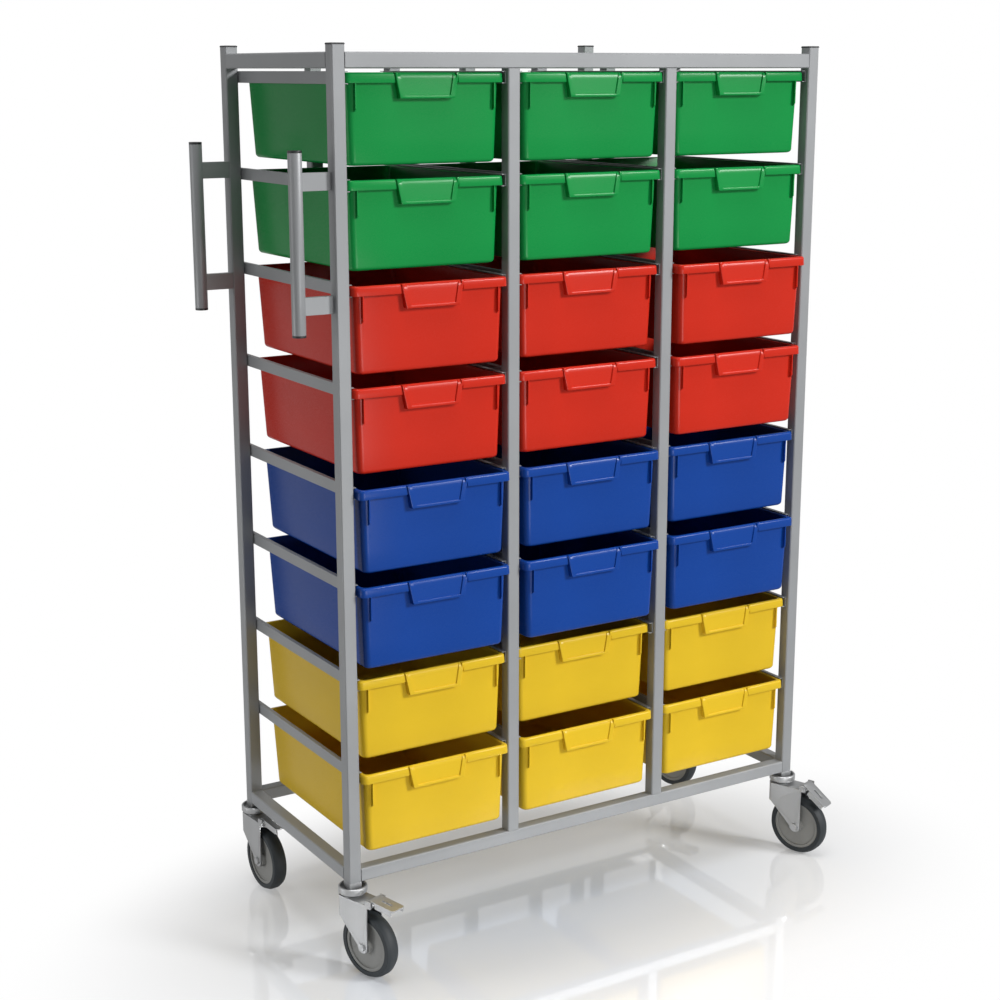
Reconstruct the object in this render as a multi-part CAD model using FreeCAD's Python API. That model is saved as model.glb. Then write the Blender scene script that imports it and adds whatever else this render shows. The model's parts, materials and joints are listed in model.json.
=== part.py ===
import FreeCAD, Part
import math
import os

V = FreeCAD.Vector
UP = V(0, 0, 1)
ACROSS = V(0, 1, 0)      # along a caster's axle, before the caster is turned to its heading

# Driving sizes in mm. X runs along the front, Y to the rear, Z up from the floor.
COLUMNS = 3
ROWS = 8
CUT_MARGIN = 1.0         # how far a cutting shape runs past what it cuts

# Tube frame
TUBE = 25.0              # square tube of the posts, uprights and base rails
TUBE_WALL = 1.5
TUBE_EDGE = 2.0          # bevel of the tube's long edges
TOP_RAIL_HEIGHT = 27.0
POST_STAND = 14.5        # capped posts above the top rails
CAP_PLATE = 3.0
CAP_EDGE = 1.0           # bevel round the top of a cap
CAP_SPIGOT = 12.0
PLUG_GAP = 0.2           # between a spigot or plug and the inside of its tube
POLE_OFFSET = 56.0       # odd rear pole, to the left of the last column's middle
POLE_EXTRA = 5.0         # and how much taller it is than the posts

# Trays
RIM_WIDTH = 312.0
RIM_DEPTH = 427.0
RIM_BAND = 17.0          # height of the turned-down rim
RIM_EDGE = 3.5           # bevel along the top of the rim
RIM_CORNER = 11.0
RIM_REACH = 7.0          # how far the rim stands out from the walls
TRAY_HEIGHT = 154.0
TRAY_WALL = 2.2
SIDE_DRAFT = 5.0
FRONT_DRAFT = 4.0
REAR_DRAFT = 12.0
BODY_CORNER = 7.0
FOOT_BEVEL = 7.0         # height of the bevel round the foot
FOOT_STEP = 5.6          # how far that bevel steps in
CORNER_STEPS = 2         # flats that make up each round corner

# Finger pull on the front of a tray
PULL_TOP = 125.0         # width at the rim
PULL_BOTTOM = 107.0
PULL_DROP = 43.0
PULL_REACH = 3.0         # in front of the rim
PULL_SLOPE_DROP = 12.0   # sloped top of the pull
PULL_SLOPE_BACK = 5.0
PULL_SLOPE_END = 5.0     # upright shoulder left at each end of the slope
LABEL_RECESS = 2.5       # sunk panel, open at the top
LABEL_BORDER = 10.0
LABEL_LIP = 5.0
RIB_X = 136.0            # short stiffening ribs at the ends of the front wall
RIB_WIDTH = 2.0
RIB_DROP = 64.0
RIB_TAPER = 5.0
RIB_REACH = 5.0

# How far each tray stands out from fully home, row by row from the top
PULLED = [
    [6.5, 13.0, 5.5],
    [6.5, 11.5, 11.0],
    [20.0, 7.5, 32.0],
    [16.5, 9.5, 26.5],
    [30.5, 25.0, 15.0],
    [30.5, 31.0, 25.0],
    [13.0, 1.0, 7.0],
    [24.0, 17.5, 11.5],
]

# Room for the trays in the frame
HOME_SETBACK = 13.5      # front of a home tray behind the front of the posts
STOP_GAP = 0.5           # rear of a home tray to the rear uprights
TOP_GAP = 7.0            # uppermost rim to the top rails
ROW_GAP = 23.7           # foot of a tray to the rim below
BASE_GAP = 29.6          # foot of the lowest tray to the base rails

# Runners
RUNNER_SHEET = 1.5
RUNNER_COVER = 7.0       # width of the upper flange, over the rim
RUNNER_FRONT = 8.0       # from the front of the frame
RUNNER_REAR = 2.0        # and from its rear
RIM_SIDE_GAP = 1.5
RIM_GAP_ABOVE = 1.0
RIM_GAP_BELOW = 0.3
LEDGE_GAP = 1.5          # lower flange to the wall of the tray

# Push handles
BAR_RADIUS = 12.0
BAR_OFFSET = 63.0        # bar axis from the face of the post
BAR_DROP = 174.0         # top of the bar below the top of the posts
BAR_LENGTH = 312.0
BAR_CAP = 4.0
STUB_HEIGHT = 30.0
STUB_INSET = 37.0        # from the ends of the bar
STUB_THICK = 13.0
STUB_SEAT = 2.5          # depth of the flat seats in the bar

# Casters
WHEEL_RADIUS = 62.5
TYRE_WIDTH = 28.0
TYRE_THICK = 12.5
SHOULDER_DROP = 4.0      # bevel of the tread, across and along the axle
SHOULDER_WIDTH = 8.0
CORE_WIDTH = 24.0
CORE_LIP = 6.0           # thickness of the rim under the tyre
WEB_THICK = 18.0
HUB_RADIUS = 14.0
HUB_PLAY = 0.6           # hub to the fork at each side
TRAIL = 44.0
AXLE_RADIUS = 4.0
AXLE_HEAD = 7.5          # bolt head and nut, from the middle to a corner
AXLE_HEAD_HEIGHT = 4.0
HEX_SIDES = 6
RUNNING_GAP = 0.06
FIT_GAP = 0.05
SEAT_GAP = 0.3
TYRE_SIDE_GAP = 4.0
FORK_SHEET = 3.0
CROWN_CLEAR = 17.0       # over the wheel
CROWN_THICK = 6.0
HOOD_RADIUS = 26.0       # rounded front of the fork, about the stem
LEG_SHOULDER = 41.0      # where the legs start to narrow, below the top of the crown
FOOT_RADIUS = 12.0
STEM_RADIUS = 6.0
STEM_HEAD = 9.0
STEM_HEAD_HEIGHT = 5.0
STEM_SHOW = 3.0          # bare stem between the dish and the plug
STEM_END_GAP = 4.0       # end of the stem below the top of its plug
RACE_RADIUS = 16.0
RACE_RISE = 6.0
RING_RADIUS = 27.0
RING_HEIGHT = 13.0
RING_WALL = 3.5
RING_EDGE = 1.5          # bevel round the top and the bottom of the ring
DISH_DEPTH = 8.0         # hollow in the top of the ring, round the plug
PLUG_FLANGE = 12.0
PLUG_DEPTH = 28.0
PIN_AHEAD = 15.0         # pedal pin past the axle
PIN_ABOVE = 3.0          # and above the top of the crown
PIN_RADIUS = 2.5
LUG_WALL = 4.5
EYE_RADIUS = 8.0
EYE_GAP = 6.0            # eye of the pedal to the end of the crown
PEDAL_SIDE_GAP = 2.0
PEDAL_LENGTH = 60.0
PEDAL_SHEET = 2.5
PEDAL_TIP = 4.0          # cut corners at the end of the tread
PEDAL_FLANGE = 12.0      # depth of the turned-down sides
FLANGE_START = 14.0
SLOT_START = 17.0
SLOT_LENGTH = 24.0
SLOT_WIDTH = 5.5
PEDAL_UP = 3.0           # slope of the tread with the brake off, and on
PEDAL_DOWN = 37.0
PEDAL_SLOPES = {"fl": PEDAL_UP, "rl": PEDAL_UP, "fr": PEDAL_DOWN, "rr": PEDAL_UP}
HEADINGS = {"fl": -73.0, "rl": -86.0, "fr": -69.0, "rr": -75.0}

# Sizes that follow from the driving ones
COLUMN_PITCH = RIM_WIDTH + 2 * (RIM_SIDE_GAP + RUNNER_SHEET) + TUBE
ROW_PITCH = TRAY_HEIGHT + ROW_GAP
WIDTH = COLUMNS * COLUMN_PITCH + TUBE
DEPTH = HOME_SETBACK + RIM_DEPTH + STOP_GAP + TUBE
LEFT = -WIDTH / 2
RIGHT = WIDTH / 2
FRONT = -DEPTH / 2
REAR = DEPTH / 2
COLUMN_X = [(c - (COLUMNS - 1) / 2) * COLUMN_PITCH for c in range(COLUMNS)]
BETWEEN_X = [(c - (COLUMNS - 2) / 2) * COLUMN_PITCH for c in range(COLUMNS - 1)]
CLEAR_HALF = (COLUMN_PITCH - TUBE) / 2
REAR_POLE_X = COLUMN_X[-1] - POLE_OFFSET
POST_AXES = {
    "fl": (LEFT + TUBE / 2, FRONT + TUBE / 2),
    "rl": (LEFT + TUBE / 2, REAR - TUBE / 2),
    "fr": (RIGHT - TUBE / 2, FRONT + TUBE / 2),
    "rr": (RIGHT - TUBE / 2, REAR - TUBE / 2),
}

CROWN_UNDER = 2 * WHEEL_RADIUS + CROWN_CLEAR
CROWN_TOP = CROWN_UNDER + CROWN_THICK
RING_BOTTOM = CROWN_TOP + RACE_RISE
RING_TOP = RING_BOTTOM + RING_HEIGHT
DISH_FLOOR = RING_TOP - DISH_DEPTH
BASE_RAIL_BOTTOM = DISH_FLOOR + STEM_SHOW + PLUG_FLANGE
BASE_RAIL_TOP = BASE_RAIL_BOTTOM + TUBE
FIRST_RIM = BASE_RAIL_TOP + BASE_GAP + TRAY_HEIGHT + (ROWS - 1) * ROW_PITCH
TOP_RAIL_BOTTOM = FIRST_RIM + TOP_GAP
TOP_RAIL_TOP = TOP_RAIL_BOTTOM + TOP_RAIL_HEIGHT
HEIGHT = TOP_RAIL_TOP + POST_STAND
SPIGOT_HALF = TUBE / 2 - TUBE_WALL - PLUG_GAP

FORK_INNER = TYRE_WIDTH / 2 + TYRE_SIDE_GAP
FORK_OUTER = FORK_INNER + FORK_SHEET
CORE_RADIUS = WHEEL_RADIUS - TYRE_THICK
PIN_X = TRAIL + PIN_AHEAD
PIN_Z = CROWN_TOP + PIN_ABOVE
PEDAL_HALF = FORK_INNER - PEDAL_SIDE_GAP


def box(x0, x1, y0, y1, z0, z1):
    return Part.makeBox(x1 - x0, y1 - y0, z1 - z0, V(x0, y0, z0))


def crossbar(radius, half, x, z):
    """A cylinder along a caster's axle direction, centred on the caster."""
    return Part.makeCylinder(radius, 2 * half, V(x, -half, z), ACROSS)


def tube(x0, x1, y0, y1, z0, z1, along):
    """A rectangular tube with bevelled long edges, open at both ends."""
    solid = box(x0, x1, y0, y1, z0, z1)
    edges = []
    for edge in solid.Edges:
        way = edge.Vertexes[1].Point - edge.Vertexes[0].Point
        if abs(way[along]) > 0:
            edges.append(edge)
    solid = solid.makeChamfer(TUBE_EDGE, edges)
    low = [x0 + TUBE_WALL, y0 + TUBE_WALL, z0 + TUBE_WALL]
    high = [x1 - TUBE_WALL, y1 - TUBE_WALL, z1 - TUBE_WALL]
    low[along] -= TUBE_WALL + CUT_MARGIN
    high[along] += TUBE_WALL + CUT_MARGIN
    return solid.cut(box(low[0], high[0], low[1], high[1], low[2], high[2]))


def upright(x, y, z0, z1):
    return tube(x - TUBE / 2, x + TUBE / 2, y - TUBE / 2, y + TUBE / 2, z0, z1, 2)


def rounded_ring(x0, x1, y0, y1, radius, z):
    """The corner points of a rectangle with round corners, each made of a few flats."""
    centres = [
        (x1 - radius, y0 + radius, -90.0),
        (x1 - radius, y1 - radius, 0.0),
        (x0 + radius, y1 - radius, 90.0),
        (x0 + radius, y0 + radius, 180.0),
    ]
    points = []
    for cx, cy, start in centres:
        for step in range(CORNER_STEPS + 1):
            turn = math.radians(start + 90.0 * step / CORNER_STEPS)
            points.append(V(cx + radius * math.cos(turn), cy + radius * math.sin(turn), z))
    return points


def square_ring(x, y, half, z):
    return [
        V(x - half, y - half, z),
        V(x + half, y - half, z),
        V(x + half, y + half, z),
        V(x - half, y + half, z),
    ]


def skin(rings):
    """A solid with flat faces through a stack of rings, closed at both ends."""
    faces = []
    for lower, upper in zip(rings[:-1], rings[1:]):
        for i in range(len(lower)):
            j = (i + 1) % len(lower)
            faces.append(Part.Face(Part.makePolygon([lower[i], lower[j], upper[j], upper[i], lower[i]])))
    for ring in (rings[0], rings[-1]):
        faces.append(Part.Face(Part.makePolygon(ring + [ring[0]])))
    solid = Part.makeSolid(Part.makeShell(faces))
    if solid.Volume < 0:
        solid.reverse()
    return solid


def prism(points, depth):
    """A closed outline of points, pushed along a vector."""
    wire = Part.makePolygon(points + [points[0]])
    return Part.Face(wire).extrude(depth)


def revolve(profile, axis):
    """Turns an outline of (radius, position along the axis) about an axis through the origin."""
    out = V(1, 0, 0)
    points = [out * r + axis * p for r, p in profile]
    face = Part.Face(Part.makePolygon(points + [points[0]]))
    return face.revolve(V(0, 0, 0), axis, 360)


def mirrored(half):
    """A profile and its mirror image along the axis, as one closed outline."""
    return half + [(r, -p) for r, p in reversed(half)]


def rim_ring(inset, z):
    half = RIM_WIDTH / 2 - inset
    return rounded_ring(-half, half, inset, RIM_DEPTH - inset, RIM_CORNER - inset, z)


def tray_body(inset, top, bottom):
    """The tapered tub: its outside with no inset, its inside with the wall as inset."""
    def level(z, step):
        fall = -z / TRAY_HEIGHT
        half = RIM_WIDTH / 2 - RIM_REACH - SIDE_DRAFT * fall - inset - step
        near = RIM_REACH + FRONT_DRAFT * fall + inset + step
        far = RIM_DEPTH - RIM_REACH - REAR_DRAFT * fall - inset - step
        return rounded_ring(-half, half, near, far, BODY_CORNER - inset, z)

    return skin([level(bottom, FOOT_STEP), level(bottom + FOOT_BEVEL, 0.0), level(top, 0.0)])


def pull_half(z):
    """Half the width of the finger pull at a height below the rim's top."""
    return (PULL_TOP + (PULL_TOP - PULL_BOTTOM) * z / PULL_DROP) / 2


def pull_block(inset, front, back, top, bottom):
    """The pull's tapered outline between two heights, pushed from front to back."""
    points = [
        V(-pull_half(top) + inset, front, top), V(pull_half(top) - inset, front, top),
        V(pull_half(bottom) - inset, front, bottom), V(-pull_half(bottom) + inset, front, bottom),
    ]
    return prism(points, V(0, back - front, 0))


def slope_height(y):
    """Height of the pull's sloped top at a distance behind the rim's front."""
    return (y - PULL_SLOPE_BACK) * PULL_SLOPE_DROP / (PULL_SLOPE_BACK + PULL_REACH)


def make_slope_cut():
    half = PULL_TOP / 2 - PULL_SLOPE_END
    near = -PULL_REACH - CUT_MARGIN
    far = PULL_SLOPE_BACK + CUT_MARGIN
    points = [
        V(-half, near, slope_height(near)),
        V(-half, far, slope_height(far)),
        V(-half, near, slope_height(far)),
    ]
    return prism(points, V(2 * half, 0, 0))


def make_pocket():
    """Room for the fingers behind the pull, with its roof along the slope."""
    half = PULL_BOTTOM / 2 - TRAY_WALL
    front = -PULL_REACH + LABEL_RECESS + TRAY_WALL
    steepness = PULL_SLOPE_DROP / (PULL_SLOPE_BACK + PULL_REACH)
    roof = TRAY_WALL * math.hypot(1.0, steepness)
    bend = PULL_SLOPE_BACK + (roof - TRAY_WALL) / steepness
    low = -PULL_DROP - CUT_MARGIN
    outline = [
        (front, low), (front, slope_height(front) - roof), (bend, -TRAY_WALL),
        (RIM_REACH, -TRAY_WALL), (RIM_REACH, low),
    ]
    return prism([V(-half, y, z) for y, z in outline], V(2 * half, 0, 0))


def make_rib(x, back):
    front = RIM_REACH - RIB_REACH
    outline = [
        (front, -TRAY_WALL), (back, -TRAY_WALL), (back, -RIB_DROP),
        (RIM_REACH, -RIB_DROP), (front, -RIB_DROP + RIB_TAPER),
    ]
    return prism([V(x - RIB_WIDTH / 2, y, z) for y, z in outline], V(RIB_WIDTH, 0, 0))


def make_tray():
    """One tray with the top of its rim at Z 0, its front at Y 0 and its middle at X 0."""
    t = TRAY_WALL
    rim = skin([rim_ring(0, -RIM_BAND), rim_ring(0, -RIM_EDGE), rim_ring(RIM_EDGE, 0)])
    rim = rim.cut(skin([rim_ring(t, -RIM_BAND), rim_ring(t, -RIM_EDGE)]))
    outside = tray_body(0.0, -t / 2, -TRAY_HEIGHT)
    inside = tray_body(t, CUT_MARGIN, -TRAY_HEIGHT + t)
    back = RIM_REACH + BODY_CORNER
    pull = pull_block(0.0, -PULL_REACH, back, 0.0, -PULL_DROP)
    label = pull_block(LABEL_BORDER, -PULL_REACH, -PULL_REACH + LABEL_RECESS, 0.0, -PULL_DROP + LABEL_LIP)
    tray = rim.fuse(outside).fuse(pull)
    for x in (-RIB_X, RIB_X):
        tray = tray.fuse(make_rib(x, back))
    for hollow in (make_pocket(), inside, make_slope_cut(), label):
        tray = tray.cut(hollow)
    return tray.removeSplitter()


def make_runner(x_web, side, rim_top):
    """A folded channel; side is +1 where the channel opens to +X."""
    s = RUNNER_SHEET
    ledge = s + RIM_SIDE_GAP + RIM_REACH - LEDGE_GAP
    cover = s + RUNNER_COVER
    top = rim_top + RIM_GAP_ABOVE + s
    low = rim_top - RIM_BAND - RIM_GAP_BELOW - s
    outline = [
        (0, low), (ledge, low), (ledge, low + s), (s, low + s),
        (s, top - s), (cover, top - s), (cover, top), (0, top),
    ]
    y = FRONT + RUNNER_FRONT
    points = [V(x_web + side * u, y, z) for u, z in outline]
    return prism(points, V(0, DEPTH - RUNNER_FRONT - RUNNER_REAR, 0))


def make_stem():
    """Swivel stem with its riveted head, lower race and dished bearing ring."""
    end = BASE_RAIL_BOTTOM + PLUG_DEPTH - STEM_END_GAP
    head_top = CROWN_UNDER - SEAT_GAP
    head_low = head_top - STEM_HEAD_HEIGHT
    race_low = CROWN_TOP + SEAT_GAP
    dish = RING_RADIUS - RING_WALL
    profile = [
        (0, head_low), (STEM_HEAD, head_low), (STEM_HEAD, head_top), (STEM_RADIUS, head_top),
        (STEM_RADIUS, race_low), (RACE_RADIUS, race_low), (RACE_RADIUS, RING_BOTTOM),
        (RING_RADIUS - RING_EDGE, RING_BOTTOM), (RING_RADIUS, RING_BOTTOM + RING_EDGE),
        (RING_RADIUS, RING_TOP - RING_EDGE), (RING_RADIUS - RING_EDGE, RING_TOP), (dish, RING_TOP),
        (dish, DISH_FLOOR), (STEM_RADIUS, DISH_FLOOR), (STEM_RADIUS, end), (0, end),
    ]
    return revolve(profile, UP)


def make_plug():
    low = BASE_RAIL_BOTTOM - PLUG_FLANGE
    high = BASE_RAIL_BOTTOM + PLUG_DEPTH
    plug = skin([square_ring(0, 0, TUBE / 2, low), square_ring(0, 0, TUBE / 2, BASE_RAIL_BOTTOM)])
    spigot = skin([square_ring(0, 0, SPIGOT_HALF, BASE_RAIL_BOTTOM), square_ring(0, 0, SPIGOT_HALF, high)])
    bore = Part.makeCylinder(STEM_RADIUS + FIT_GAP, high - low + 2 * CUT_MARGIN, V(0, 0, low - CUT_MARGIN))
    return plug.fuse(spigot).cut(bore).removeSplitter()


def make_fork():
    """Pressed fork, rounded in front, with its trail along +X and its axle along Y."""
    lug = PIN_RADIUS + LUG_WALL
    shoulder = CROWN_TOP - LEG_SHOULDER
    hollow = HOOD_RADIUS - FORK_SHEET
    lead = math.sqrt(hollow ** 2 - FORK_INNER ** 2)
    hood = Part.makeCylinder(HOOD_RADIUS, LEG_SHOULDER, V(0, 0, shoulder))
    hood = hood.cut(Part.makeCylinder(hollow, LEG_SHOULDER - CROWN_THICK, V(0, 0, shoulder)))
    hood = hood.common(box(-HOOD_RADIUS, 0, -FORK_OUTER, FORK_OUTER, shoulder, CROWN_TOP))
    crown = box(0, PIN_X - EYE_RADIUS - EYE_GAP, -FORK_OUTER, FORK_OUTER, CROWN_UNDER, CROWN_TOP)
    fork = crown.fuse(hood)
    outline = [
        (-lead, CROWN_TOP), (PIN_X - lug, CROWN_TOP), (PIN_X - lug, PIN_Z + lug),
        (PIN_X + lug, PIN_Z + lug), (PIN_X + lug, PIN_Z - lug), (TRAIL + FOOT_RADIUS, PIN_Z - lug),
        (TRAIL + FOOT_RADIUS, WHEEL_RADIUS), (TRAIL - FOOT_RADIUS, WHEEL_RADIUS), (-lead, shoulder),
    ]
    for y in (-FORK_OUTER, FORK_INNER):
        leg = prism([V(u, y, z) for u, z in outline], V(0, FORK_SHEET, 0))
        foot = Part.makeCylinder(FOOT_RADIUS, FORK_SHEET, V(TRAIL, y, WHEEL_RADIUS), ACROSS)
        fork = fork.fuse(leg.fuse(foot))
    reach = FORK_OUTER + CUT_MARGIN
    through = CROWN_THICK + 2 * CUT_MARGIN
    holes = [
        Part.makeCylinder(STEM_RADIUS + RUNNING_GAP, through, V(0, 0, CROWN_UNDER - CUT_MARGIN)),
        crossbar(PIN_RADIUS + FIT_GAP, reach, PIN_X, PIN_Z),
        crossbar(AXLE_RADIUS + FIT_GAP, reach, TRAIL, WHEEL_RADIUS),
    ]
    for hole in holes:
        fork = fork.cut(hole)
    return fork.removeSplitter()


def make_hexagon(y0, y1):
    """A bolt head or nut on the axle between two positions along it."""
    points = []
    for i in range(HEX_SIDES):
        turn = 2 * math.pi * i / HEX_SIDES
        points.append(V(TRAIL + AXLE_HEAD * math.cos(turn), y0, WHEEL_RADIUS + AXLE_HEAD * math.sin(turn)))
    return prism(points, V(0, y1 - y0, 0))


def make_axle():
    """Axle bolt with its head and nut, and the pedal's pin, as two solids."""
    end = FORK_OUTER + AXLE_HEAD_HEIGHT
    bolt = crossbar(AXLE_RADIUS, FORK_OUTER, TRAIL, WHEEL_RADIUS)
    bolt = bolt.fuse(make_hexagon(-end, -FORK_OUTER)).fuse(make_hexagon(FORK_OUTER, end))
    return Part.makeCompound([bolt, crossbar(PIN_RADIUS, FORK_OUTER, PIN_X, PIN_Z)])


def make_core():
    """Wheel centre: hub, web and the rim that the tyre sits on."""
    hub = FORK_INNER - HUB_PLAY
    bore = AXLE_RADIUS + RUNNING_GAP
    web = WEB_THICK / 2
    side = CORE_WIDTH / 2
    seat = CORE_RADIUS - CORE_LIP
    half = [
        (bore, hub), (HUB_RADIUS, hub), (HUB_RADIUS, web),
        (seat, web), (seat, side), (CORE_RADIUS, side),
    ]
    core = revolve(mirrored(half), ACROSS)
    core.translate(V(TRAIL, 0, WHEEL_RADIUS))
    return core


def make_tyre():
    side = TYRE_WIDTH / 2
    inner = CORE_RADIUS + FIT_GAP
    half = [(inner, side), (WHEEL_RADIUS - SHOULDER_DROP, side), (WHEEL_RADIUS, side - SHOULDER_WIDTH)]
    tyre = revolve(mirrored(half), ACROSS)
    tyre.translate(V(TRAIL, 0, WHEEL_RADIUS))
    return tyre


def make_pedal(slope):
    """Pressed brake pedal: an eye round the pin and a slotted tread plate with turned-down sides."""
    w = PEDAL_HALF
    top = EYE_RADIUS
    low = top - PEDAL_SHEET
    end = PEDAL_LENGTH - PEDAL_TIP
    narrow = w - PEDAL_TIP
    outline = [(0, -w), (end, -w), (PEDAL_LENGTH, -narrow), (PEDAL_LENGTH, narrow), (end, w), (0, w)]
    pedal = prism([V(u, y, low) for u, y in outline], V(0, 0, PEDAL_SHEET))
    for y in (-w, w - PEDAL_SHEET):
        pedal = pedal.fuse(box(FLANGE_START, end, y, y + PEDAL_SHEET, top - PEDAL_FLANGE, top))
    slot_end = SLOT_START + SLOT_LENGTH
    slot_half = SLOT_WIDTH / 2
    slot = box(SLOT_START, slot_end, -slot_half, slot_half, low - CUT_MARGIN, top + CUT_MARGIN)
    pedal = pedal.fuse(crossbar(EYE_RADIUS, w, 0, 0)).cut(slot)
    pedal = pedal.cut(crossbar(PIN_RADIUS + RUNNING_GAP, w + CUT_MARGIN, 0, 0)).removeSplitter()
    pedal.rotate(V(0, 0, 0), ACROSS, slope)
    pedal.translate(V(PIN_X, 0, PIN_Z))
    return pedal


def placed(shape, corner, turn=True):
    """A caster piece moved under its post and turned to its heading."""
    copy = shape.copy()
    if turn:
        copy.rotate(V(0, 0, 0), UP, HEADINGS[corner])
    x, y = POST_AXES[corner]
    copy.translate(V(x, y, 0))
    return copy


def make_cap(x, y, top):
    half = TUBE / 2
    plate = top - CAP_PLATE
    cap = skin([
        square_ring(x, y, half, plate),
        square_ring(x, y, half, top - CAP_EDGE),
        square_ring(x, y, half - CAP_EDGE, top),
    ])
    spigot = skin([
        square_ring(x, y, SPIGOT_HALF, plate - CAP_SPIGOT),
        square_ring(x, y, SPIGOT_HALF, plate),
    ])
    return cap.fuse(spigot)


def make_frame():
    """The fixed frame as a dictionary of named groups of solids."""
    tops = {"fl": HEIGHT, "rl": HEIGHT, "fr": HEIGHT, "rr": TOP_RAIL_TOP}
    posts = [upright(*POST_AXES[k], BASE_RAIL_BOTTOM, tops[k] - CAP_PLATE) for k in POST_AXES]
    caps = [make_cap(*POST_AXES[k], tops[k]) for k in POST_AXES]

    in_left = LEFT + TUBE
    in_right = RIGHT - TUBE
    in_front = FRONT + TUBE
    in_rear = REAR - TUBE
    low, high = TOP_RAIL_BOTTOM, TOP_RAIL_TOP
    pole_left = REAR_POLE_X - TUBE / 2
    pole_right = REAR_POLE_X + TUBE / 2
    top_rails = [
        tube(in_left, in_right, FRONT, in_front, low, high, 0),
        tube(in_left, pole_left, in_rear, REAR, low, high, 0),
        tube(pole_right, in_right, in_rear, REAR, low, high, 0),
        tube(LEFT, in_left, in_front, in_rear, low, high, 1),
        tube(in_right, RIGHT, in_front, in_rear, low, high, 1),
    ]
    low, high = BASE_RAIL_BOTTOM, BASE_RAIL_TOP
    base_rails = [
        tube(in_left, in_right, FRONT, in_front, low, high, 0),
        tube(in_left, in_right, in_rear, REAR, low, high, 0),
        tube(LEFT, in_left, in_front, in_rear, low, high, 1),
        tube(in_right, RIGHT, in_front, in_rear, low, high, 1),
    ]
    y_front = FRONT + TUBE / 2
    y_rear = REAR - TUBE / 2
    front_uprights = [upright(x, y_front, BASE_RAIL_TOP, TOP_RAIL_BOTTOM) for x in BETWEEN_X]
    rear_uprights = [upright(x, y_rear, BASE_RAIL_TOP, TOP_RAIL_BOTTOM) for x in BETWEEN_X + COLUMN_X]
    pole_top = HEIGHT + POLE_EXTRA
    rear_uprights.append(upright(REAR_POLE_X, y_rear, BASE_RAIL_TOP, pole_top - CAP_PLATE))
    caps.append(make_cap(REAR_POLE_X, y_rear, pole_top))
    return {
        "corner_posts": posts,
        "top_rails": top_rails,
        "base_rails": base_rails,
        "front_uprights": front_uprights,
        "rear_uprights": rear_uprights,
        "post_caps": caps,
        "caster_plugs": [placed(make_plug(), k, False) for k in POST_AXES],
        "caster_stems": [placed(make_stem(), k, False) for k in POST_AXES],
    }


def make_runners():
    groups = {}
    for c, x in enumerate(COLUMN_X):
        solids = []
        for r in range(ROWS):
            rim_top = FIRST_RIM - r * ROW_PITCH
            solids.append(make_runner(x - CLEAR_HALF, 1, rim_top))
            solids.append(make_runner(x + CLEAR_HALF, -1, rim_top))
        groups["runners_%d" % (c + 1)] = solids
    return groups


def make_handles():
    """Both push handles: bars, the stubs that hold them and the caps on the bar ends."""
    bars, stubs, caps = [], [], []
    x = LEFT - BAR_OFFSET
    seat = x + BAR_RADIUS - STUB_SEAT
    top = HEIGHT - BAR_DROP
    bottom = top - BAR_LENGTH
    for y0 in (FRONT + TUBE - STUB_THICK, REAR - TUBE):
        y = y0 + STUB_THICK / 2
        bar = Part.makeCylinder(BAR_RADIUS, BAR_LENGTH - 2 * BAR_CAP, V(x, y, bottom + BAR_CAP))
        for z in (bottom + STUB_INSET, top - STUB_INSET - STUB_HEIGHT):
            stub = box(seat, LEFT, y0, y0 + STUB_THICK, z, z + STUB_HEIGHT)
            stubs.append(stub)
            bar = bar.cut(stub)
        bars.append(bar)
        for z in (bottom, top - BAR_CAP):
            caps.append(Part.makeCylinder(BAR_RADIUS, BAR_CAP, V(x, y, z)))
    return {"handle_bars": bars, "handle_stubs": stubs, "handle_caps": caps}


def main():
    os.makedirs("parts", exist_ok=True)
    groups = make_frame()
    groups.update(make_runners())
    groups.update(make_handles())
    for name, solids in groups.items():
        Part.makeCompound(solids).exportStep("parts/%s.step" % name)
    caster = {
        "fork": make_fork(),
        "axle": make_axle(),
        "wheel": make_core(),
        "tyre": make_tyre(),
    }
    for corner in POST_AXES:
        caster["pedal"] = make_pedal(PEDAL_SLOPES[corner])
        for name, shape in caster.items():
            placed(shape, corner).exportStep("parts/%s_%s.step" % (name, corner))
    tray = make_tray()
    for r in range(ROWS):
        for c, x in enumerate(COLUMN_X):
            copy = tray.copy()
            copy.translate(V(x, FRONT + HOME_SETBACK - PULLED[r][c], FIRST_RIM - r * ROW_PITCH))
            copy.exportStep("parts/tray_%d%d.step" % (r + 1, c + 1))


main()
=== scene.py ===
import bmesh
import bpy
import json
import math
from mathutils import Matrix, Vector


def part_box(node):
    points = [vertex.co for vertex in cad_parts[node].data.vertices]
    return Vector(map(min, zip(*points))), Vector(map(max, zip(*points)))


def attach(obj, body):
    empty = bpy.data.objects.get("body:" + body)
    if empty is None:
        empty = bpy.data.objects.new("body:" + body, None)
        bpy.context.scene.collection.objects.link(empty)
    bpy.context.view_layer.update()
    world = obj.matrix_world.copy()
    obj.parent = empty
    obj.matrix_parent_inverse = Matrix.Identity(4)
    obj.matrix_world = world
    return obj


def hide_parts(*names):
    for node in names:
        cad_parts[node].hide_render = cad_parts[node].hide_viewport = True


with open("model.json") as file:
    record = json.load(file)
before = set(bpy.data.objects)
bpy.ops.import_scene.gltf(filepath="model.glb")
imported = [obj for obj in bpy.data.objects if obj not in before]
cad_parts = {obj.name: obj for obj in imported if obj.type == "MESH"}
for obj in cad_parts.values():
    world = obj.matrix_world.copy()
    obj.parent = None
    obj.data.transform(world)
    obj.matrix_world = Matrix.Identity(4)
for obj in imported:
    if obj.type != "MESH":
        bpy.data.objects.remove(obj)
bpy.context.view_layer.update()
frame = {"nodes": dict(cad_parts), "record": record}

MM = 0.001
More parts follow.
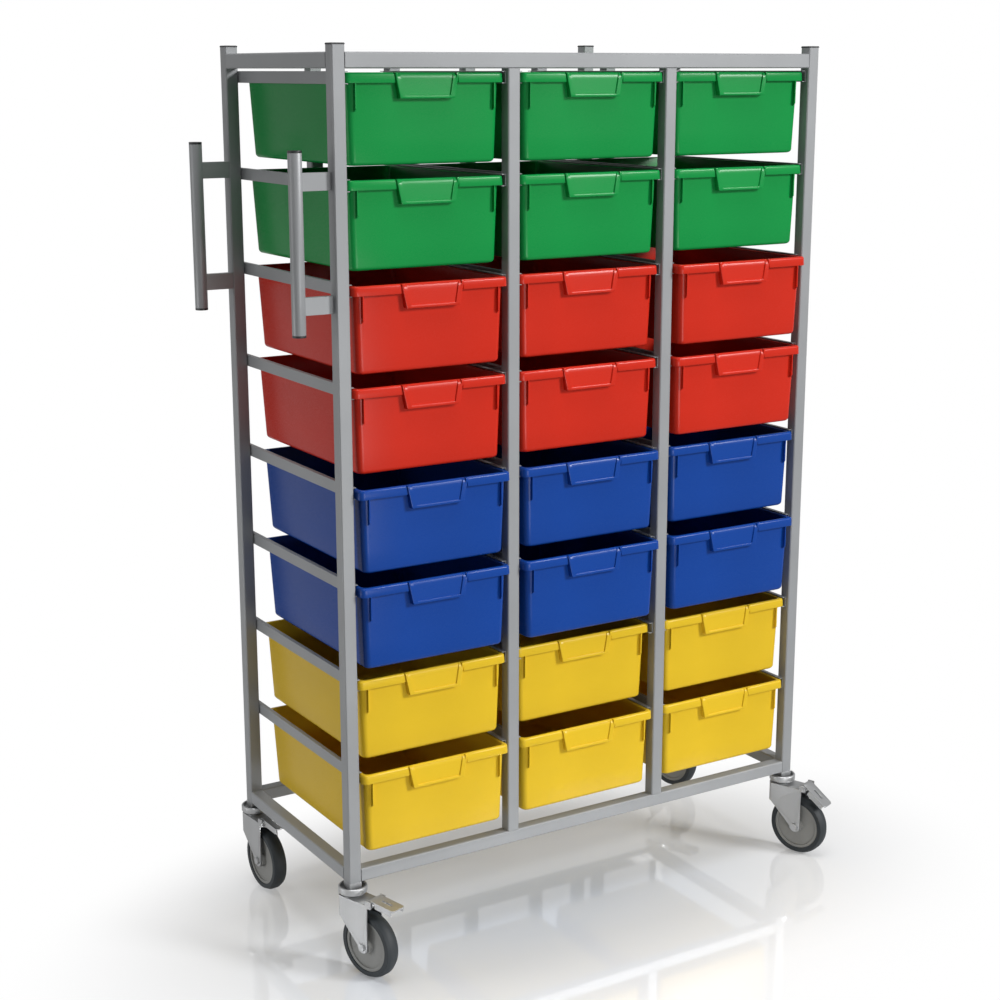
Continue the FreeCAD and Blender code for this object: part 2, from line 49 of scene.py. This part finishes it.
ROWS = 8
COLUMNS = 3

# Tray sizes in mm, as in the part's source but for the rounder corner of the body
RIM_WIDTH = 312.0
RIM_DEPTH = 427.0
RIM_BAND = 17.0
RIM_CORNER = 11.0
RIM_REACH = 7.0
TRAY_HEIGHT = 154.0
WALL = 2.2
SIDE_DRAFT = 5.0
FRONT_DRAFT = 4.0
REAR_DRAFT = 12.0
BODY_CORNER = 11.0
FOOT_BEVEL = 7.0
FOOT_STEP = 5.6
PULL_TOP = 125.0
PULL_BOTTOM = 107.0
PULL_DROP = 43.0
PULL_REACH = 3.0
LABEL_RECESS = 2.5
LABEL_BORDER = 10.0
LABEL_LIP = 5.0
RIB_X = 136.0
RIB_WIDTH = 2.0
RIB_DROP = 64.0
RIB_TAPER = 5.0
RIB_REACH = 5.0
RIB_SHORT = 0.2          # keeps the back of a rib inside the wall

# Finer sizes of the dressed tray, in mm
RIM_ROUND = 4.0          # outer edge along the top of the rim
RIM_LEAN = 0.9           # how far the band leans back towards its top
MOUTH_ROUND = 2.4        # inner edge
BAND_ROUND = 0.8         # lower edge of the band
BAND_POINTS = 3
FLOOR_ROUND = 9.0
CORNER_POINTS = 7
ROUND_POINTS = 5
OUTSIDE_LEVELS = (-110.0, -60.0)
INSIDE_LEVELS = (-40.0, -90.0)
SHARP_ANGLE = 35.0       # in degrees, where two faces meet in a sharp edge

# Finer sizes of the pull, in mm
PULL_LEAN = 1.2          # how far its face leans back towards its top
PULL_EDGE = 0.8          # round along its lower front edge, and how far the round's middle is cut back
PULL_EDGE_MIDDLE = 0.23
PULL_SHORT = 0.4         # from the back of its roof to the wall of the tray
PULL_SINK = 1.0          # how far its closed ends reach into that wall
PULL_SIDE_GAP = 0.1      # from its sides to the rim's own points
SLOPE_END = 57.5         # half width of its sloped top
SLOPE_DROP = 13.0
SLOPE_BACK = 5.5
SLOPE_POINTS = 6
SLOPE_EDGE = (0.1, 0.2)  # step at the end of the slope, inside and outside its line
SLOPE_NEAR = 1.0         # what counts as that step
PANEL_POINT = 25.0       # a point across the sunk panel
PANEL_RISE = 1.0         # how much less the slope drops in the panel
LIP_HEIGHTS = (-0.7, -0.1, 0.0, 0.5)                            # points over the edge of the lip
LIP_DEPTHS = (0.0, 0.3, LABEL_RECESS - 0.5, LABEL_RECESS)       # and how deep each lies in the panel
BORDER_EDGE = (0.5, 0.4) # inner edge of the border, inside and outside its line
SHOULDER_LEVELS = (-9.0, -5.0)
SHOULDER_EDGE = 1.4      # round along the top of the shoulders, and its middle
SHOULDER_MIDDLE = 0.41
END_ROUND = 1.2          # round at the ends of the pull, and its middle
END_MIDDLE = 0.35
ROOF = 2.3               # roof of the finger pocket
POCKET_BEND = 3.6        # where the roof turns down along the slope
POCKET_LEVELS = (-10.0, -30.0)
POCKET_SHORT = 3.0       # from the end of the pocket to the border
POCKET_STEP = 0.4
BLOCK_LEVELS = (-8.0, -15.0, -30.0)
TUCK_BACK = 1.0          # how far the rim is drawn in behind the slope, and down
TUCK_DROP = 0.4
TUCK_MARGIN = 0.01

# Edges of the other nodes
WELD_REACH = 0.00002
BEVEL_WIDTH = 0.0005
BEVEL_SEGMENTS = 2
BEVEL_ANGLE = 30.0       # in degrees

# Camera fitted to the photograph
CAMERA_AT = (-1.8826, -2.9685, 1.6306)
CAMERA_YAW = 0.5509
CAMERA_PITCH = 0.2354
CAMERA_ROLL = -0.0008
CAMERA_LENS = 64.548
CAMERA_SENSOR = 36.0

# Studio: name, place, size and power of each lamp
LAMPS = [
    ("key", (4.9, -6.4, 4.6), 1.8, 560.0),
    ("sheen", (3.3, -6.2, 2.1), 1.0, 20.0),
    ("over", (-0.4, -0.9, 7.6), 4.0, 300.0),
    ("front", (-0.2, -2.6, 0.35), 1.0, 22.0),
    ("left", (-6.2, 1.7, 1.7), 3.0, 62.0),
    ("low", (-1.9, 0.3, 0.4), 0.5, 5.0),
]
LAMPS_AIM = (0.0, 0.0, 0.8)
AMBIENT = 0.08           # light of the surround on the object
SURROUND_GLOSS = 0.45    # brightness of the surround in reflections
FLOOR_GLOSS = 0.6        # and of the far floor
FLOOR_REACH = 14.0
FLOOR_Z = -0.0004
FLOOR_ROUGHNESS = 0.05
FLOOR_IOR = 2.2
FLOOR_MIDDLE = (-0.1, -0.2)      # middle of the oval in which shade is painted on the floor
FLOOR_STRETCH = 1.5      # how much shorter the oval is from front to rear
FLOOR_SHADE_TONES = [          # distance from the middle, and the floor's colour there: painted shade, darker and bluer near the object
    (0.15, (0.64, 0.71, 0.83, 1.0)),
    (0.65, (0.95, 0.96, 0.975, 1.0)),
]
FLOOR_NEAR = 0.52        # where the floor starts to fade to plain white, and where it has
FLOOR_FAR = 1.1
FLOOR_GLOW = 0.17        # share of plain white in the floor under the object
MIRROR_START = -0.36     # where in front of the object the floor starts to mirror less
MIRROR_END = -0.62
MIRROR_LEAST = 0.25

# Finishes, with colours as screen values from 0 to 255
FINISHES = {
    "frame_paint": dict(colour=(151, 153, 155), roughness=0.42, metallic=0.15, grain=900.0,
                        bump=0.10, wear=0.25),
    "black_plastic": dict(colour=(30, 31, 33), roughness=0.45, grain=700.0, bump=0.10, wear=0.2),
    "zinc": dict(colour=(180, 181, 182), roughness=0.42, metallic=0.9, grain=260.0, bump=0.08,
                 spread=0.12, stretch=(1, 1, 0.2)),
    "wheel_grey": dict(colour=(140, 140, 137), roughness=0.5, grain=500.0, bump=0.08, wear=0.2),
    "tyre_rubber": dict(colour=(34, 40, 44), roughness=0.6, grain=600.0, bump=0.25, spread=0.15, wear=0.1),
}
TRAY_FINISH = dict(roughness=0.27, shine=0.2, grain=1200.0, bump=0.06, spread=0.04, wear=0.15)
TRAY_COLOURS = {
    "tray_green": (16, 147, 68),
    "tray_red": (207, 45, 27),
    "tray_blue": (18, 67, 152),
    "tray_yellow": (226, 188, 42),
}
ROW_SLOTS = [slot for slot in TRAY_COLOURS for row in range(ROWS // len(TRAY_COLOURS))]
MOTTLE_SCALE = 7.0       # broad, faint patches of colour
MOTTLE_DETAIL = 4.0
MOTTLE_BAND = (0.3, 0.7)
GRAIN_DETAIL = 3.0
GLOSS_SPREAD = 0.06
RELIEF_DEPTH = 0.0005
WEAR_BAND = (0.52, 0.60) # how sharp an edge is where wear starts, and where it is full
WEAR_LIFT = 1.5          # how much paler a worn edge is


def linear(red, green, blue):
    """A colour in linear light from its screen values, 0 to 255."""
    out = []
    for value in (red, green, blue):
        v = value / 255.0
        out.append(v / 12.92 if v <= 0.04045 else ((v + 0.055) / 1.055) ** 2.4)
    return (*out, 1.0)


def scaled(colour, factor):
    return tuple(min(1.0, c * factor) for c in colour[:3]) + (1.0,)


def make_material(name, colour, roughness, metallic=0.0, shine=0.5, grain=400.0, bump=0.05, spread=0.06,
                  wear=0.0, stretch=(1, 1, 1)):
    """A procedural finish: mottled colour, uneven gloss, fine grain and paler worn edges."""
    base = linear(*colour)
    material = bpy.data.materials.new(name)
    material.use_nodes = True
    nodes = material.node_tree.nodes
    links = material.node_tree.links
    shader = nodes["Principled BSDF"]
    shader.inputs["Metallic"].default_value = metallic
    shader.inputs["Specular IOR Level"].default_value = shine
    place = nodes.new("ShaderNodeTexCoord")
    mapping = nodes.new("ShaderNodeMapping")
    mapping.inputs["Scale"].default_value = stretch
    links.new(place.outputs["Object"], mapping.inputs["Vector"])

    mottle = nodes.new("ShaderNodeTexNoise")
    mottle.inputs["Scale"].default_value = MOTTLE_SCALE
    mottle.inputs["Detail"].default_value = MOTTLE_DETAIL
    links.new(mapping.outputs["Vector"], mottle.inputs["Vector"])
    ramp = nodes.new("ShaderNodeValToRGB")
    shades = (1.0 - spread, 1.0 + spread)
    for element, position, shade in zip(ramp.color_ramp.elements, MOTTLE_BAND, shades):
        element.position = position
        element.color = scaled(base, shade)
    links.new(mottle.outputs["Fac"], ramp.inputs["Fac"])
    painted = ramp.outputs["Color"]

    if wear > 0:
        geometry = nodes.new("ShaderNodeNewGeometry")
        edges = nodes.new("ShaderNodeMapRange")
        edges.inputs["From Min"].default_value = WEAR_BAND[0]
        edges.inputs["From Max"].default_value = WEAR_BAND[1]
        edges.inputs["To Max"].default_value = wear
        links.new(geometry.outputs["Pointiness"], edges.inputs["Value"])
        mix = nodes.new("ShaderNodeMix")
        mix.data_type = "RGBA"
        mix.inputs["B"].default_value = scaled(base, WEAR_LIFT)
        links.new(edges.outputs["Result"], mix.inputs["Factor"])
        links.new(painted, mix.inputs["A"])
        painted = mix.outputs["Result"]
    links.new(painted, shader.inputs["Base Color"])

    fine = nodes.new("ShaderNodeTexNoise")
    fine.inputs["Scale"].default_value = grain
    fine.inputs["Detail"].default_value = GRAIN_DETAIL
    links.new(mapping.outputs["Vector"], fine.inputs["Vector"])
    gloss = nodes.new("ShaderNodeMapRange")
    gloss.inputs["To Min"].default_value = roughness - GLOSS_SPREAD
    gloss.inputs["To Max"].default_value = roughness + GLOSS_SPREAD
    links.new(fine.outputs["Fac"], gloss.inputs["Value"])
    links.new(gloss.outputs["Result"], shader.inputs["Roughness"])
    relief = nodes.new("ShaderNodeBump")
    relief.inputs["Strength"].default_value = bump
    relief.inputs["Distance"].default_value = RELIEF_DEPTH
    links.new(fine.outputs["Fac"], relief.inputs["Height"])
    links.new(relief.outputs["Normal"], shader.inputs["Normal"])
    return material


def make_materials():
    """Every finish, by the name of its slot."""
    finishes = dict(FINISHES)
    for slot, colour in TRAY_COLOURS.items():
        finishes[slot] = dict(TRAY_FINISH, colour=colour)
    return {slot: make_material(slot, **finish) for slot, finish in finishes.items()}


def arc(count):
    """Angles through a quarter turn, both ends included."""
    return [math.pi / 2 * i / (count - 1) for i in range(count)]


def ring_points(x0, x1, y0, y1, radius, z):
    """A level ring with round corners and extra points along its front, beside the pull."""
    centres = [
        (x0 + radius, y0 + radius, math.pi),
        (x1 - radius, y0 + radius, 1.5 * math.pi),
        (x1 - radius, y1 - radius, 0.0),
        (x0 + radius, y1 - radius, 0.5 * math.pi),
    ]
    beside = PULL_TOP / 2 + PULL_SIDE_GAP
    points = []
    for index, (cx, cy, start) in enumerate(centres):
        for a in arc(CORNER_POINTS):
            points.append([cx + radius * math.cos(start + a), cy + radius * math.sin(start + a), z])
        if index == 0:
            for x in (-beside, -SLOPE_END, SLOPE_END, beside):
                points.append([x, y0, z])
    return points


def rim_ring(inset, z, corner):
    half = RIM_WIDTH / 2 - inset
    return ring_points(-half, half, inset, RIM_DEPTH - inset, corner, z)


def tub_ring(inset, step, z):
    fall = -z / TRAY_HEIGHT
    half = RIM_WIDTH / 2 - RIM_REACH - SIDE_DRAFT * fall - inset - step
    near = RIM_REACH + FRONT_DRAFT * fall + inset + step
    far = RIM_DEPTH - RIM_REACH - REAR_DRAFT * fall - inset - step
    return ring_points(-half, half, near, far, BODY_CORNER - inset, z)


def tray_rings():
    """All rings of one tray, from the underside over the rim to the floor inside."""
    rings = []
    for a in arc(ROUND_POINTS):
        step = FOOT_STEP * (1 - math.sin(a))
        rings.append(tub_ring(0.0, step, -TRAY_HEIGHT + FOOT_BEVEL * (1 - math.cos(a))))
    for z in (*OUTSIDE_LEVELS, -RIM_BAND, -WALL):
        rings.append(tub_ring(0.0, 0.0, z))
    rings.append(rim_ring(WALL, -WALL, RIM_CORNER - WALL))
    rings.append(rim_ring(WALL, -RIM_BAND, RIM_CORNER - WALL))
    band_start = len(rings)
    for a in arc(BAND_POINTS):
        inset = BAND_ROUND * (1 - math.sin(a))
        rings.append(rim_ring(inset, -RIM_BAND + BAND_ROUND * (1 - math.cos(a)), RIM_CORNER - inset))
    for a in arc(ROUND_POINTS):
        inset = RIM_LEAN + RIM_ROUND * (1 - math.cos(a))
        rings.append(rim_ring(inset, -RIM_ROUND * (1 - math.sin(a)), RIM_CORNER - inset))
    for ring in rings[band_start:]:
        tuck_behind_pull(ring)
    for a in arc(ROUND_POINTS):
        outward = MOUTH_ROUND * (1 - math.sin(a))
        rings.append(tub_ring(WALL - outward, 0.0, -MOUTH_ROUND * (1 - math.cos(a))))
    for z in INSIDE_LEVELS:
        rings.append(tub_ring(WALL, 0.0, z))
    floor = -TRAY_HEIGHT + WALL
    for a in arc(ROUND_POINTS):
        step = FLOOR_ROUND * (1 - math.cos(a))
        rings.append(tub_ring(WALL, step, floor + FLOOR_ROUND * (1 - math.sin(a))))
    return rings


def tuck_behind_pull(ring):
    """Draws the rim's front edge in under the pull, which is a block of its own."""
    for point in ring:
        if abs(point[0]) < SLOPE_END + TUCK_MARGIN and point[1] < RIM_REACH:
            point[1] = max(point[1], SLOPE_BACK + TUCK_BACK)
            point[2] = min(point[2], -TUCK_DROP)


def add_rings(mesh, rings):
    """Walls through a stack of rings, closed at both ends."""
    rows = [[mesh.verts.new(Vector(p) * MM) for p in ring] for ring in rings]
    count = len(rows[0])
    for low, high in zip(rows[:-1], rows[1:]):
        for i in range(count):
            j = (i + 1) % count
            mesh.faces.new((low[i], low[j], high[j], high[i]))
    mesh.faces.new(list(reversed(rows[0])))
    mesh.faces.new(rows[-1])


def pull_profile(kind):
    """The pull's section at one place across it, from the lower front edge up to the back of its top."""
    face = -PULL_REACH
    low = -PULL_DROP
    lip = low + LABEL_LIP
    points = [
        (face + PULL_EDGE, low),
        (face + PULL_EDGE_MIDDLE, low + PULL_EDGE_MIDDLE),
        (face, low + PULL_EDGE),
    ]
    start = face + PULL_LEAN
    drop = SLOPE_DROP
    depths = [0.0] * len(LIP_DEPTHS)
    if kind == "panel":
        start += LABEL_RECESS
        drop -= PANEL_RISE
        depths = LIP_DEPTHS
    points += [(face + depth, lip + rise) for depth, rise in zip(depths, LIP_HEIGHTS)]
    if kind == "shoulder":
        points += [(start, z) for z in (-SLOPE_DROP, *SHOULDER_LEVELS, -SHOULDER_EDGE)]
        points += [(start + SHOULDER_MIDDLE, -SHOULDER_MIDDLE), (start + SHOULDER_EDGE, 0.0)]
    else:
        for a in arc(SLOPE_POINTS):
            points.append((SLOPE_BACK - (SLOPE_BACK - start) * math.cos(a), -drop + drop * math.sin(a)))
    return points + [(RIM_REACH - PULL_SHORT, 0.0)]


def pull_back(hollow):
    """The pull's rear side: open to the fingers in the middle, closed at the ends."""
    if hollow:
        wall = -PULL_REACH + LABEL_RECESS + WALL
        roof = [(RIM_REACH - PULL_SHORT, -ROOF), (SLOPE_BACK, -POCKET_BEND)]
        return roof + [(wall, z) for z in (*POCKET_LEVELS, -PULL_DROP)]
    back = RIM_REACH + PULL_SINK
    return [(back, z) for z in (-ROOF, *BLOCK_LEVELS, -PULL_DROP)]


def add_pull(mesh):
    """Finger pull with its sunk panel, raised border, sloped top and room behind it."""
    half = PULL_TOP / 2
    border = half - LABEL_BORDER
    pocket = border - POCKET_SHORT
    lean = (PULL_TOP - PULL_BOTTOM) / 2 / PULL_DROP
    columns = [  # place, section, pocket behind it or not, and how far the face is drawn in
        (0.0, "panel", True, 0.0),
        (PANEL_POINT, "panel", True, 0.0),
        (pocket, "panel", True, 0.0),
        (pocket + POCKET_STEP, "panel", False, 0.0),
        (border - BORDER_EDGE[0], "panel", False, 0.0),
        (border + BORDER_EDGE[1], "bead", False, 0.0),
        (SLOPE_END - SLOPE_EDGE[0], "bead", False, 0.0),
        (SLOPE_END + SLOPE_EDGE[1], "shoulder", False, 0.0),
        (half - END_ROUND, "shoulder", False, 0.0),
        (half - END_MIDDLE, "shoulder", False, END_MIDDLE),
        (half, "shoulder", False, END_ROUND),
    ]
    columns = [(-x, kind, hollow, tuck) for x, kind, hollow, tuck in reversed(columns[1:])] + columns
    rows = []
    for x, kind, hollow, tuck in columns:
        row = []
        for y, z in pull_profile(kind) + pull_back(hollow):
            slant = lean * -z
            if abs(abs(x) - SLOPE_END) < SLOPE_NEAR:
                slant = lean * max(0.0, -z - SLOPE_DROP)
            inward = tuck if y < 0 else 0.0
            place = (math.copysign(abs(x) - slant, x) if x else 0.0, y + inward, z)
            row.append(mesh.verts.new(Vector(place) * MM))
        rows.append(row)
    count = len(rows[0])
    for left, right in zip(rows[:-1], rows[1:]):
        for i in range(count):
            j = (i + 1) % count
            mesh.faces.new((left[i], right[i], right[j], left[j]))
    mesh.faces.new(rows[0])
    mesh.faces.new(list(reversed(rows[-1])))


def add_rib(mesh, x):
    """Short upright rib between the rim and the front wall."""
    front = RIM_REACH - RIB_REACH
    back = RIM_REACH + WALL - RIB_SHORT
    outline = [
        (front, -WALL), (back, -WALL), (back, -RIB_DROP),
        (RIM_REACH, -RIB_DROP), (front, -RIB_DROP + RIB_TAPER),
    ]
    sides = []
    for side in (-1, 1):
        sides.append([mesh.verts.new(Vector((x + side * RIB_WIDTH / 2, y, z)) * MM) for y, z in outline])
    left, right = sides
    for i in range(len(outline)):
        j = (i + 1) % len(outline)
        mesh.faces.new((left[i], left[j], right[j], right[i]))
    mesh.faces.new(list(reversed(left)))
    mesh.faces.new(right)


def make_tray_mesh(slot, material):
    mesh = bmesh.new()
    add_rings(mesh, tray_rings())
    add_pull(mesh)
    for x in (-RIB_X, RIB_X):
        add_rib(mesh, x)
    bmesh.ops.recalc_face_normals(mesh, faces=mesh.faces)
    for face in mesh.faces:
        face.smooth = True
    for edge in mesh.edges:
        if edge.calc_face_angle(0.0) > math.radians(SHARP_ANGLE):
            edge.smooth = False
    data = bpy.data.meshes.new("dressed_" + slot)
    mesh.to_mesh(data)
    mesh.free()
    data.materials.append(material)
    return data


def dress_trays(materials):
    """A detailed tray in place of each packed one."""
    meshes = {slot: make_tray_mesh(slot, materials[slot]) for slot in TRAY_COLOURS}
    for row in range(ROWS):
        slot = ROW_SLOTS[row]
        for column in range(COLUMNS):
            node = "tray_%d%d" % (row + 1, column + 1)
            low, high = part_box(node)
            piece = bpy.data.objects.new("dressed_" + node, meshes[slot])
            bpy.context.scene.collection.objects.link(piece)
            piece.location = ((low.x + high.x) / 2, low.y + PULL_REACH * MM, high.z)
            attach(piece, node)
            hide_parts(node)


def finish_nodes(materials):
    """Gives each CAD node the finish of its slot, and softens the edges of those that show."""
    slots = {part["node"]: part["material_slot"] for part in frame["record"]["subparts"]}
    for name, node in frame["nodes"].items():
        material = materials[slots[name]]
        if not node.material_slots:
            node.data.materials.append(material)
        for place in node.material_slots:
            place.material = material
        if node.hide_render:
            continue
        weld = node.modifiers.new("weld", "WELD")
        weld.merge_threshold = WELD_REACH
        bevel = node.modifiers.new("bevel", "BEVEL")
        bevel.width = BEVEL_WIDTH
        bevel.segments = BEVEL_SEGMENTS
        bevel.limit_method = "ANGLE"
        bevel.angle_limit = math.radians(BEVEL_ANGLE)
        bevel.harden_normals = True


def make_floor_material():
    """Pale and glossy near the object, with painted shade that darkens and cools its colour towards the
    object, plain white to the camera further out.
    """
    material = bpy.data.materials.new("floor_white")
    material.use_nodes = True
    nodes = material.node_tree.nodes
    links = material.node_tree.links
    shader = nodes["Principled BSDF"]
    shader.inputs["Roughness"].default_value = FLOOR_ROUGHNESS
    shader.inputs["IOR"].default_value = FLOOR_IOR

    place = nodes.new("ShaderNodeTexCoord")
    oval = nodes.new("ShaderNodeMapping")
    oval.inputs["Location"].default_value = (-FLOOR_MIDDLE[0], -FLOOR_MIDDLE[1] * FLOOR_STRETCH, 0.0)
    oval.inputs["Scale"].default_value = (1.0, FLOOR_STRETCH, 1.0)
    links.new(place.outputs["Object"], oval.inputs["Vector"])
    spread = nodes.new("ShaderNodeVectorMath")
    spread.operation = "LENGTH"
    links.new(oval.outputs["Vector"], spread.inputs[0])
    # painted shade: the floor's colour darkens and turns bluer towards the middle of the oval
    painted_shade = nodes.new("ShaderNodeValToRGB")
    for element, (position, colour) in zip(painted_shade.color_ramp.elements, FLOOR_SHADE_TONES):
        element.position = position
        element.color = colour
    links.new(spread.outputs["Value"], painted_shade.inputs["Fac"])
    links.new(painted_shade.outputs["Color"], shader.inputs["Base Color"])

    along = nodes.new("ShaderNodeSeparateXYZ")
    links.new(place.outputs["Object"], along.inputs["Vector"])
    mirror = nodes.new("ShaderNodeMapRange")
    mirror.inputs["From Min"].default_value = MIRROR_END
    mirror.inputs["From Max"].default_value = MIRROR_START
    mirror.inputs["To Min"].default_value = MIRROR_LEAST
    links.new(along.outputs["Y"], mirror.inputs["Value"])
    links.new(mirror.outputs["Result"], shader.inputs["Specular IOR Level"])

    far = nodes.new("ShaderNodeMapRange")
    far.interpolation_type = "SMOOTHSTEP"
    far.inputs["From Min"].default_value = FLOOR_NEAR
    far.inputs["From Max"].default_value = FLOOR_FAR
    far.inputs["To Min"].default_value = FLOOR_GLOW
    links.new(spread.outputs["Value"], far.inputs["Value"])
    white = nodes.new("ShaderNodeEmission")
    path = nodes.new("ShaderNodeLightPath")
    mirrored = nodes.new("ShaderNodeMapRange")
    mirrored.inputs["To Max"].default_value = FLOOR_GLOSS
    links.new(path.outputs["Is Glossy Ray"], mirrored.inputs["Value"])
    seen = nodes.new("ShaderNodeMath")
    seen.operation = "MAXIMUM"
    links.new(path.outputs["Is Camera Ray"], seen.inputs[0])
    links.new(mirrored.outputs["Result"], seen.inputs[1])
    links.new(seen.outputs["Value"], white.inputs["Strength"])
    fade = nodes.new("ShaderNodeMixShader")
    links.new(far.outputs["Result"], fade.inputs["Fac"])
    links.new(shader.outputs["BSDF"], fade.inputs[1])
    links.new(white.outputs["Emission"], fade.inputs[2])
    links.new(fade.outputs["Shader"], nodes["Material Output"].inputs["Surface"])
    return material


def make_floor():
    data = bpy.data.meshes.new("floor")
    corners = [(-1, -1), (1, -1), (1, 1), (-1, 1)]
    data.from_pydata([(x * FLOOR_REACH, y * FLOOR_REACH, FLOOR_Z) for x, y in corners], [], [(0, 1, 2, 3)])
    data.materials.append(make_floor_material())
    floor = bpy.data.objects.new("floor", data)
    bpy.context.scene.collection.objects.link(floor)


def make_world():
    """A surround that is white to the camera, paler in reflections and faint as a light."""
    world = bpy.data.worlds.new("studio")
    world.use_nodes = True
    nodes = world.node_tree.nodes
    links = world.node_tree.links
    back = nodes["Background"]
    back.inputs["Color"].default_value = (1.0, 1.0, 1.0, 1.0)
    path = nodes.new("ShaderNodeLightPath")
    strongest = nodes.new("ShaderNodeMath")
    strongest.operation = "MAXIMUM"
    for index, (kind, level) in enumerate((("Is Camera Ray", 1.0), ("Is Glossy Ray", SURROUND_GLOSS))):
        share = nodes.new("ShaderNodeMapRange")
        share.inputs["To Min"].default_value = AMBIENT
        share.inputs["To Max"].default_value = level
        links.new(path.outputs[kind], share.inputs["Value"])
        links.new(share.outputs["Result"], strongest.inputs[index])
    links.new(strongest.outputs["Value"], back.inputs["Strength"])
    bpy.context.scene.world = world


def make_lamps():
    for name, place, size, power in LAMPS:
        light = bpy.data.lights.new(name, "AREA")
        light.shape = "SQUARE"
        light.size = size
        light.energy = power
        lamp = bpy.data.objects.new(name, light)
        lamp.location = place
        lamp.rotation_euler = (Vector(LAMPS_AIM) - Vector(place)).to_track_quat("-Z", "Y").to_euler()
        bpy.context.scene.collection.objects.link(lamp)


def make_camera():
    ahead = Vector((
        math.sin(CAMERA_YAW) * math.cos(CAMERA_PITCH),
        math.cos(CAMERA_YAW) * math.cos(CAMERA_PITCH),
        -math.sin(CAMERA_PITCH),
    ))
    side = Vector((math.cos(CAMERA_YAW), -math.sin(CAMERA_YAW), 0.0))
    up = side.cross(ahead)
    right = math.cos(CAMERA_ROLL) * side + math.sin(CAMERA_ROLL) * up
    top = math.cos(CAMERA_ROLL) * up - math.sin(CAMERA_ROLL) * side
    data = bpy.data.cameras.new("camera")
    data.sensor_width = CAMERA_SENSOR
    data.lens = CAMERA_LENS
    camera = bpy.data.objects.new("camera", data)
    turn = Matrix((right, top, -ahead)).transposed().to_4x4()
    camera.matrix_world = Matrix.Translation(CAMERA_AT) @ turn
    bpy.context.scene.collection.objects.link(camera)
    bpy.context.scene.camera = camera


bpy.context.scene.view_settings.view_transform = "Standard"
finishes = make_materials()
make_camera()
make_floor()
make_world()
make_lamps()
dress_trays(finishes)
finish_nodes(finishes)
